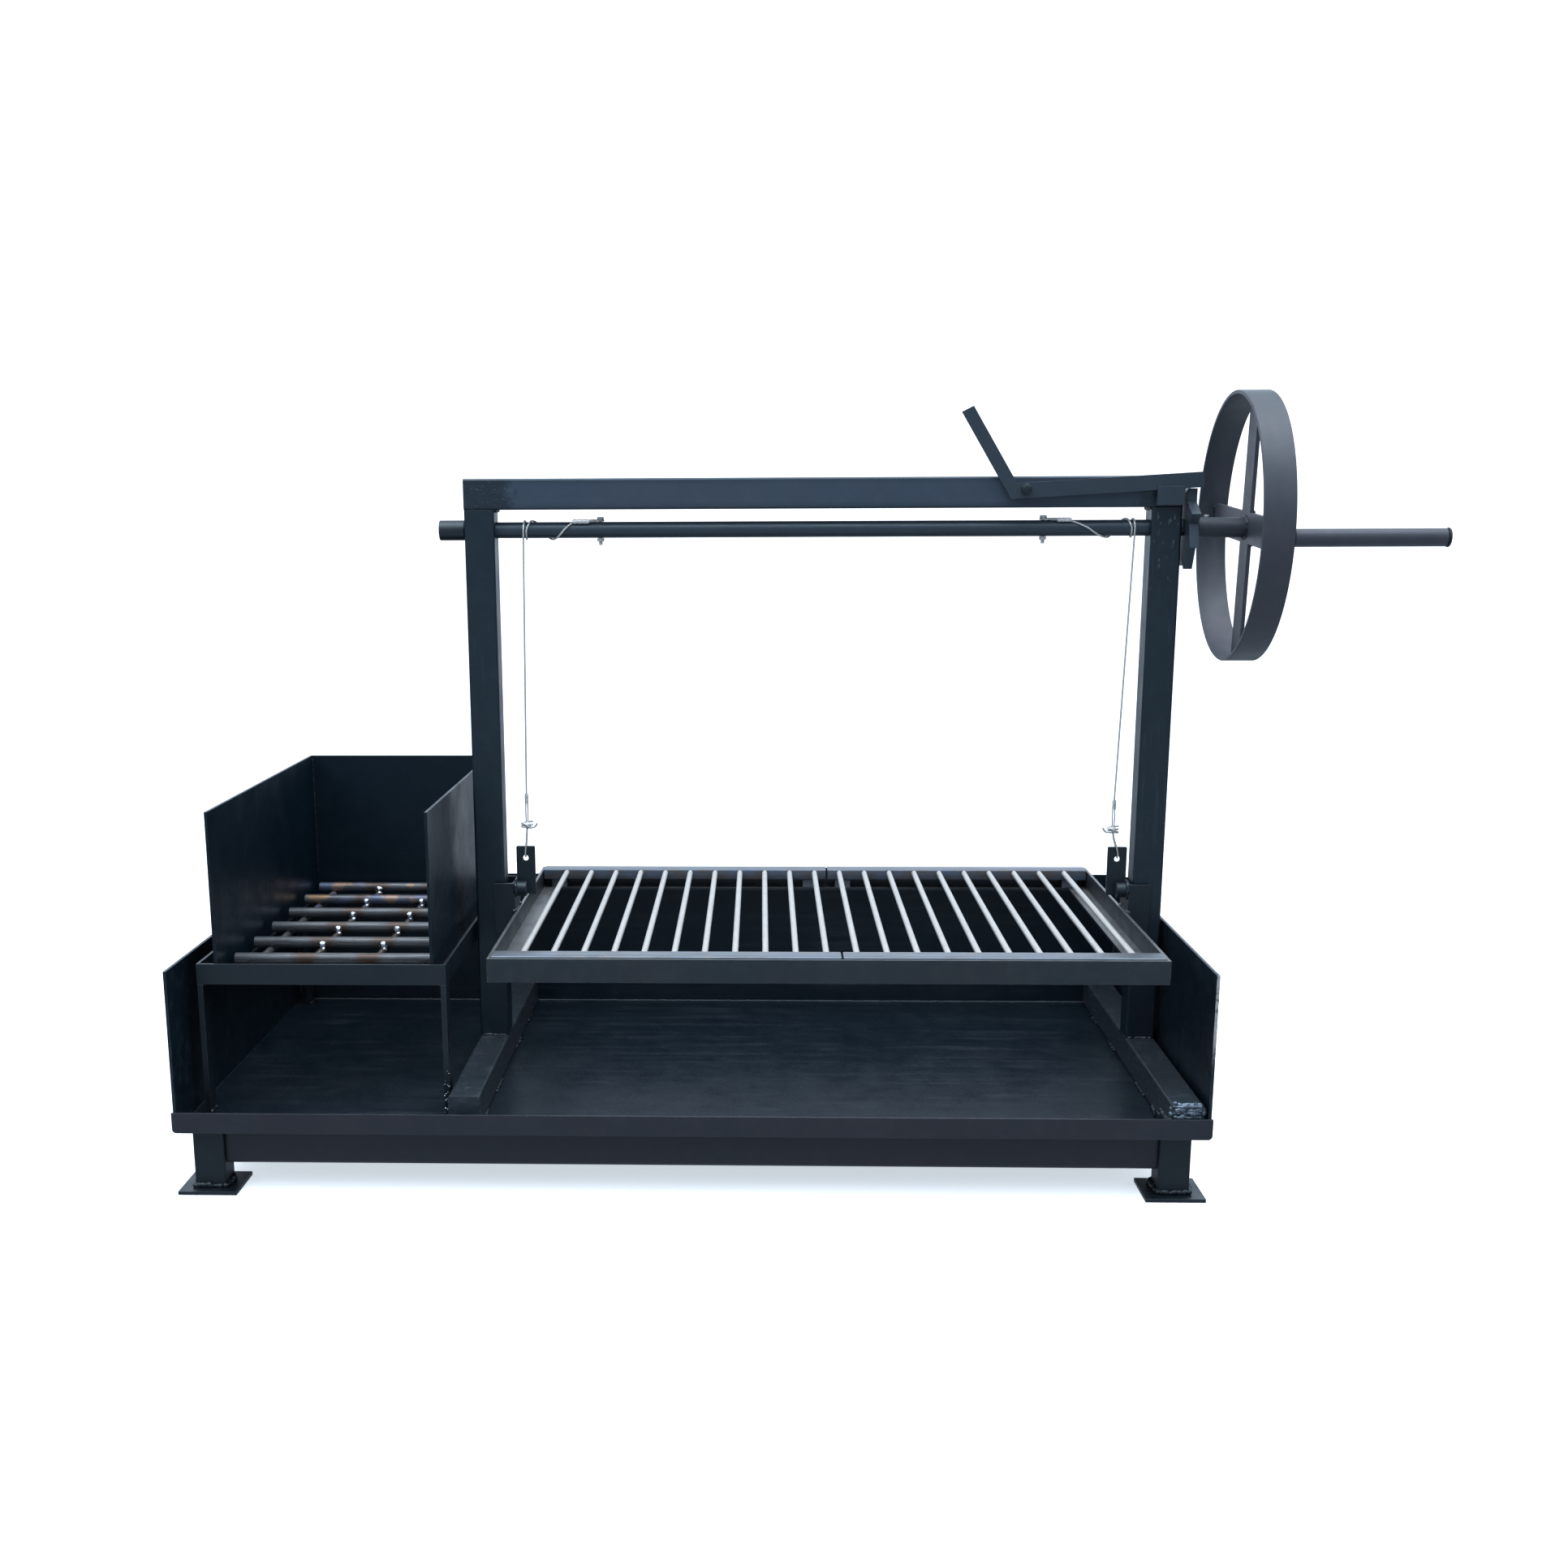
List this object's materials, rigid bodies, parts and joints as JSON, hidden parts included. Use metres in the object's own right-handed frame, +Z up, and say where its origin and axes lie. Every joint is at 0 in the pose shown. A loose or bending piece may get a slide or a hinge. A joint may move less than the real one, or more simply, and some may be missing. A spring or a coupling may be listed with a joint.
{
  "type": "crank-lift wood-fired grill",
  "caption": "Floor-standing wood-fired grill: a hand wheel, ratchet and two cables raise a grate between two posts over a long ember tray with a raised firebox at one end.",
  "frame": {"origin": "on the floor, under the centre of the whole part's bounding box", "axes": "+X along the tray towards the hand wheel, +Y from the open front to the back wall, +Z up"},
  "size_m": [2.0106, 0.8096, 1.2645],
  "materials": {
    "painted_slate": "satin",
    "painted_dark": "satin",
    "painted_brown": "satin",
    "galvanised_cable": "bright",
    "brushed_steel": "brushed",
    "satin_steel": "satin",
    "raw_steel": "mill scale",
    "zinc": "zinc plated"
  },
  "bodies": {
    "frame": {"tray_shell": "painted_dark", "tray_back_wall": "painted_dark", "tray_front_lip": "painted_slate", "foot_plate_front_left": "painted_slate", "foot_plate_front_right": "painted_slate", "foot_plate_rear_left": "painted_slate", "foot_plate_rear_right": "painted_slate", "leg_front_left": "painted_slate", "leg_front_right": "painted_slate", "leg_rear_left": "painted_slate", "leg_rear_right": "painted_slate", "under_rail_left": "painted_slate", "under_rail_right": "painted_slate", "under_rail_front": "painted_slate", "under_rail_rear": "painted_slate", "arm_left": "painted_slate", "arm_right": "painted_slate", "post_left": "painted_slate", "post_right": "painted_slate", "top_beam": "painted_slate", "pawl_keeper": "painted_slate", "pawl_pivot_bolt": "zinc", "firebox_frame": "painted_slate", "firebox_leg_front_left": "painted_slate", "firebox_leg_front_right": "painted_slate", "firebox_leg_rear_left": "painted_slate", "firebox_leg_rear_right": "painted_slate", "firebox_wall_left": "painted_dark", "firebox_wall_right": "painted_dark", "firebox_wall_back": "painted_dark", "firebox_grate": "raw_steel", "lift_cable_left": "galvanised_cable", "lift_cable_right": "galvanised_cable"},
    "crank": {"lift_shaft": "painted_dark", "shaft_end_collar": "painted_dark", "ratchet_wheel": "painted_dark", "wheel_hub": "painted_brown", "hub_set_screw": "zinc", "wheel_rim": "painted_brown", "wheel_spokes": "painted_brown", "handle_rod": "painted_brown", "handle_end_cap": "painted_dark", "cable_anchor_bolt_left": "zinc", "cable_anchor_bolt_right": "zinc", "cable_coil_left": "galvanised_cable", "cable_coil_right": "galvanised_cable"},
    "carriage": {"grate_angle_front": "satin_steel", "grate_angle_rear": "satin_steel", "grate_angle_left": "satin_steel", "grate_angle_right": "satin_steel", "guide_shoe_left": "painted_slate", "guide_shoe_right": "painted_slate", "cable_hanger_left": "painted_slate", "cable_hanger_right": "painted_slate", "cable_knot_left": "galvanised_cable", "cable_knot_right": "galvanised_cable"},
    "grill_panel_left": {"grill_panel_left": "brushed_steel"},
    "grill_panel_right": {"grill_panel_right": "brushed_steel"},
    "pawl": {"pawl_lever": "painted_slate"},
    "handle_grip": {"handle_grip": "painted_brown"}
  },
  "joints": [
    {"name": "crank_turn", "type": "hinge", "parent": "frame", "child": "crank", "pos_m": [0.0332, 0, 1.0442], "axis": [-1, 0, 0], "range_deg": [-720, 1440]},
    {"name": "grate_lift", "type": "slide", "parent": "frame", "child": "carriage", "axis": [0, 0, 1], "range_m": [-0.1886, 0.3771], "deforming": ["lift_cable_left", "lift_cable_right"]},
    {"name": "pawl_swing", "type": "hinge", "parent": "frame", "child": "pawl", "pos_m": [0.3705, -0.0354, 1.1074], "axis": [0, -1, 0], "range_deg": [-3.2, 90]},
    {"name": "grip_turn", "type": "hinge", "parent": "crank", "child": "handle_grip", "pos_m": [0.8826, -0.20395, 1.02922], "axis": [1, 0, 0], "continuous": true},
    {"name": "grill_panel_left_lift", "type": "slide", "parent": "carriage", "child": "grill_panel_left", "axis": [0, 0, 1], "range_m": [0, 0.06]},
    {"name": "grill_panel_right_lift", "type": "slide", "parent": "carriage", "child": "grill_panel_right", "axis": [0, 0, 1], "range_m": [0, 0.06]}
  ],
  "couplings": [
    {"joint": "grate_lift", "follows": "crank_turn", "m_per_rad": 0.015}
  ]
}
